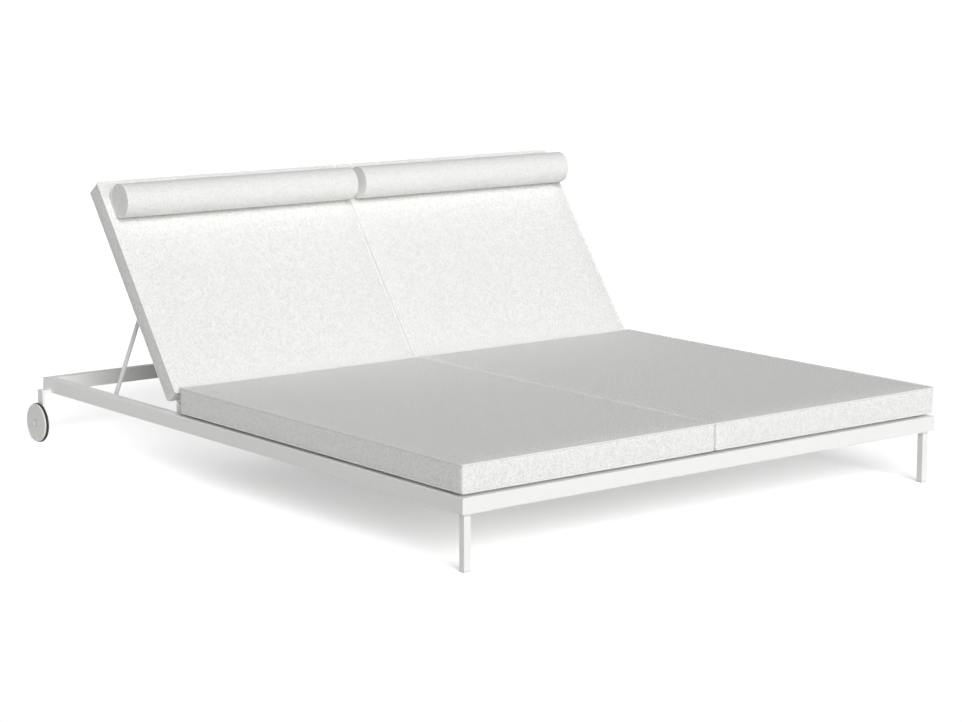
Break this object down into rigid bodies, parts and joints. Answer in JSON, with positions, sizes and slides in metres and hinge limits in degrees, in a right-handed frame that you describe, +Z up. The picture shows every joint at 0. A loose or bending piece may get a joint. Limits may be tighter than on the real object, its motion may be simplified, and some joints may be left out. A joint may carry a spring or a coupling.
{
  "type": "double chaise lounger",
  "caption": "White patio lounger for two on front legs and wheels, with seat cushions, reclining backrests and bolsters.",
  "frame": {"origin": "centre of the footprint on the floor, under the middle of the overall box", "axes": "+X across the lounger, +Y from the foot end towards the head end and the wheels, +Z up"},
  "size_m": [1.692, 2.0234, 0.7815],
  "materials": {
    "white_powder_coat": "satin white powder coat on aluminium",
    "outdoor_fabric": "white woven outdoor fabric over foam",
    "white_nylon": "matte moulded nylon",
    "black_rubber": "matte solid rubber",
    "stainless_steel": "plain stainless",
    "grey_bush": "plain bearing polymer"
  },
  "bodies": {
    "frame": {"foot_rail": "white_powder_coat", "head_rail": "white_powder_coat", "centre_rail": "white_powder_coat", "side_rail_left": "white_powder_coat", "hinge_rail_left": "white_powder_coat", "front_leg_left": "white_powder_coat", "wheel_bracket_left": "white_powder_coat", "hinge_lugs_left": "white_powder_coat", "leg_glide_left": "white_nylon", "hinge_pins_left": "stainless_steel", "wheel_axle_left": "stainless_steel", "seat_cushion_left": "outdoor_fabric", "slat_ledge_left_outer": "white_powder_coat", "prop_rack_left_outer": "white_powder_coat", "slat_ledge_left_inner": "white_powder_coat", "prop_rack_left_inner": "white_powder_coat", "seat_slat_left_1": "white_powder_coat", "seat_slat_left_2": "white_powder_coat", "seat_slat_left_3": "white_powder_coat", "seat_slat_left_4": "white_powder_coat", "seat_slat_left_5": "white_powder_coat", "seat_slat_left_6": "white_powder_coat", "side_rail_right": "white_powder_coat", "hinge_rail_right": "white_powder_coat", "front_leg_right": "white_powder_coat", "wheel_bracket_right": "white_powder_coat", "hinge_lugs_right": "white_powder_coat", "leg_glide_right": "white_nylon", "hinge_pins_right": "stainless_steel", "wheel_axle_right": "stainless_steel", "seat_cushion_right": "outdoor_fabric", "slat_ledge_right_outer": "white_powder_coat", "prop_rack_right_outer": "white_powder_coat", "slat_ledge_right_inner": "white_powder_coat", "prop_rack_right_inner": "white_powder_coat", "seat_slat_right_1": "white_powder_coat", "seat_slat_right_2": "white_powder_coat", "seat_slat_right_3": "white_powder_coat", "seat_slat_right_4": "white_powder_coat", "seat_slat_right_5": "white_powder_coat", "seat_slat_right_6": "white_powder_coat", "axle_nuts": "stainless_steel"},
    "back_left": {"back_frame_left": "white_powder_coat", "prop_ears_left": "white_powder_coat", "back_cushion_left": "outdoor_fabric", "bolster_left": "outdoor_fabric"},
    "prop_left": {"prop_bail_left": "white_powder_coat"},
    "wheel_left": {"wheel_hub_left": "white_nylon", "wheel_bush_left": "grey_bush", "tyre_left": "black_rubber"},
    "back_right": {"back_frame_right": "white_powder_coat", "prop_ears_right": "white_powder_coat", "back_cushion_right": "outdoor_fabric", "bolster_right": "outdoor_fabric"},
    "prop_right": {"prop_bail_right": "white_powder_coat"},
    "wheel_right": {"wheel_hub_right": "white_nylon", "wheel_bush_right": "grey_bush", "tyre_right": "black_rubber"}
  },
  "joints": [
    {"name": "recline_left", "type": "hinge", "parent": "frame", "child": "back_left", "pos_m": [-0.3925, 0.28725, 0.1975], "axis": [1, 0, 0], "range_deg": [-54.1, 8.4]},
    {"name": "prop_fold_left", "type": "hinge", "parent": "back_left", "child": "prop_left", "pos_m": [-0.3925, 0.49289, 0.44407], "axis": [1, 0, 0], "range_deg": [-17.6, 112.7]},
    {"name": "wheel_spin_left", "type": "hinge", "parent": "frame", "child": "wheel_left", "pos_m": [-0.838, 0.95475, 0.057], "axis": [1, 0, 0], "continuous": true},
    {"name": "recline_right", "type": "hinge", "parent": "frame", "child": "back_right", "pos_m": [0.3925, 0.28725, 0.1975], "axis": [1, 0, 0], "range_deg": [-54.1, 8.4]},
    {"name": "prop_fold_right", "type": "hinge", "parent": "back_right", "child": "prop_right", "pos_m": [0.3925, 0.49289, 0.44407], "axis": [1, 0, 0], "range_deg": [-17.6, 112.7]},
    {"name": "wheel_spin_right", "type": "hinge", "parent": "frame", "child": "wheel_right", "pos_m": [0.838, 0.95475, 0.057], "axis": [1, 0, 0], "continuous": true}
  ],
  "couplings": [
    {"joint": "prop_fold_left", "follows": "recline_left", "ratio": -2.08},
    {"joint": "prop_fold_right", "follows": "recline_right", "ratio": -2.08}
  ]
}
